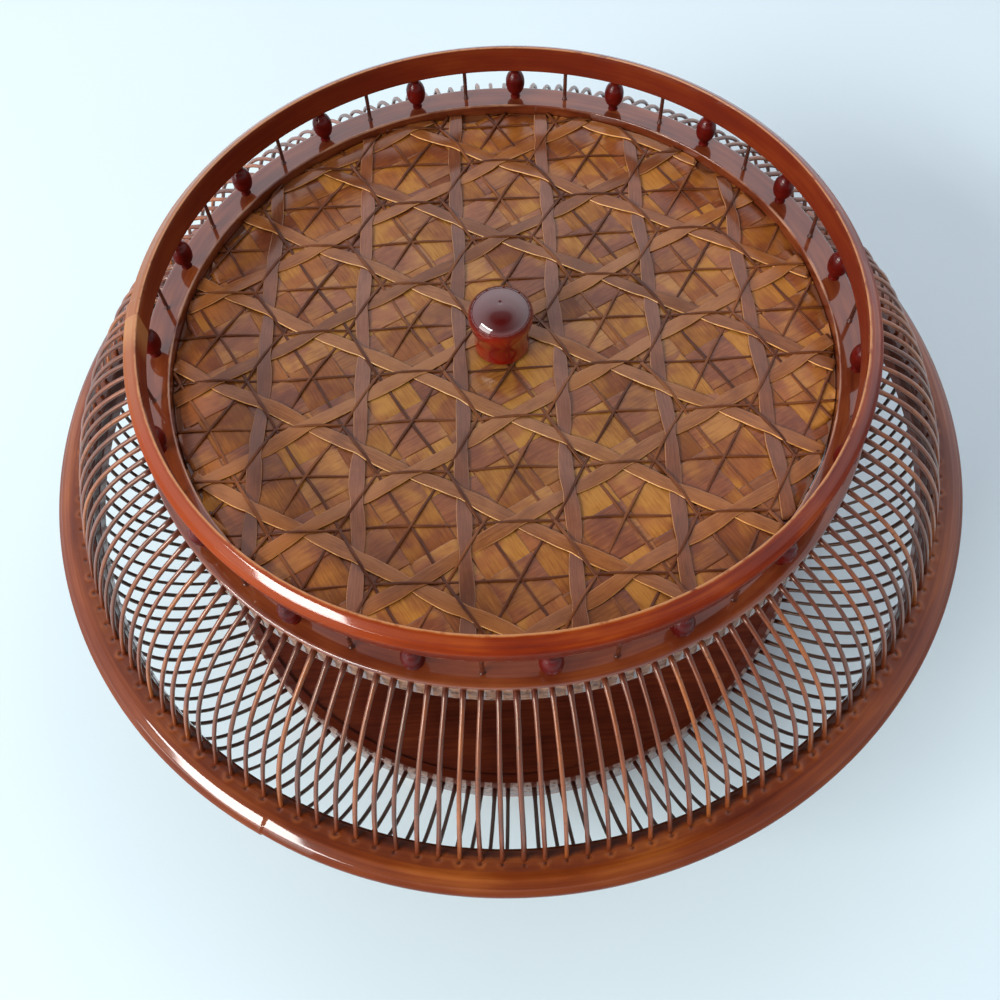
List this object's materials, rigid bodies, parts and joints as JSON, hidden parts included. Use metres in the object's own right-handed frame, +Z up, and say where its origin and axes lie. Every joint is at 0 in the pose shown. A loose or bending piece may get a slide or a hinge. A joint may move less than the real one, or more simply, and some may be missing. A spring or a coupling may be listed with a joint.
{
  "type": "food storage basket",
  "caption": "Round lacquered bamboo food basket: wide ribbed bowl, drawn-in ribbed shoulder, beaded gallery with a top hoop, and a woven lid that lifts out by a turned knob.",
  "frame": {"origin": "middle of the foot hoop's underside, on the surface that the basket stands on", "axes": "+Z up along the basket's axis of revolution, through the lid's knob; -Y is the front from which the picture looks"},
  "size_m": [0.3, 0.3, 0.1496],
  "materials": {
    "hoop_lacquer": "glossy clear lacquer over split bamboo, orange-brown to maroon, with fine grain along the hoop",
    "ring_lacquer": "glossy dark red-brown lacquer, pale and worn on the outer face between the ribs",
    "rib_lacquer": "semi-gloss red-brown lacquer over thin round bamboo",
    "board_lacquer": "dark brown lacquer, satin, with faint grain",
    "bead_lacquer": "high-gloss dark red lacquer on turned wood",
    "peg_lacquer": "semi-gloss dark brown lacquer",
    "weave_lacquer": "glossy orange-brown lacquer over woven flat bamboo strips",
    "knob_lacquer": "mirror-gloss dark red lacquer on turned wood"
  },
  "bodies": {
    "basket": {"foot_hoop": "hoop_lacquer", "base_hoop": "ring_lacquer", "base_board": "board_lacquer", "rim_lower_hoop": "hoop_lacquer", "rim_upper_hoop": "hoop_lacquer", "neck_ring": "ring_lacquer", "lid_seat_hoop": "ring_lacquer", "top_hoop": "hoop_lacquer", "shoulder_ribs_right": "rib_lacquer", "shoulder_ribs_back": "rib_lacquer", "shoulder_ribs_left": "rib_lacquer", "shoulder_ribs_front": "rib_lacquer", "bowl_ribs_right": "rib_lacquer", "bowl_ribs_back": "rib_lacquer", "bowl_ribs_left": "rib_lacquer", "bowl_ribs_front": "rib_lacquer", "gallery_bead_01": "bead_lacquer", "gallery_bead_02": "bead_lacquer", "gallery_bead_03": "bead_lacquer", "gallery_bead_04": "bead_lacquer", "gallery_bead_05": "bead_lacquer", "gallery_bead_06": "bead_lacquer", "gallery_bead_07": "bead_lacquer", "gallery_bead_08": "bead_lacquer", "gallery_bead_09": "bead_lacquer", "gallery_bead_10": "bead_lacquer", "gallery_bead_11": "bead_lacquer", "gallery_bead_12": "bead_lacquer", "gallery_bead_13": "bead_lacquer", "gallery_bead_14": "bead_lacquer", "gallery_bead_15": "bead_lacquer", "gallery_bead_16": "bead_lacquer", "gallery_bead_17": "bead_lacquer", "gallery_bead_18": "bead_lacquer", "gallery_bead_19": "bead_lacquer", "gallery_peg_01": "peg_lacquer", "gallery_peg_02": "peg_lacquer", "gallery_peg_03": "peg_lacquer", "gallery_peg_04": "peg_lacquer", "gallery_peg_05": "peg_lacquer", "gallery_peg_06": "peg_lacquer", "gallery_peg_07": "peg_lacquer", "gallery_peg_08": "peg_lacquer", "gallery_peg_09": "peg_lacquer", "gallery_peg_10": "peg_lacquer", "gallery_peg_11": "peg_lacquer", "gallery_peg_12": "peg_lacquer", "gallery_peg_13": "peg_lacquer", "gallery_peg_14": "peg_lacquer", "gallery_peg_15": "peg_lacquer", "gallery_peg_16": "peg_lacquer", "gallery_peg_17": "peg_lacquer", "gallery_peg_18": "peg_lacquer", "gallery_peg_19": "peg_lacquer"},
    "lid": {"lid_rim_hoop": "hoop_lacquer", "lid_backing_panel": "weave_lacquer", "lid_weave_panel": "weave_lacquer", "lid_knob": "knob_lacquer", "knob_pin": "peg_lacquer"}
  },
  "joints": [
    {"name": "lid_lift", "type": "slide", "parent": "basket", "child": "lid", "axis": [0, 0, 1], "range_m": [0, 0.15]}
  ]
}
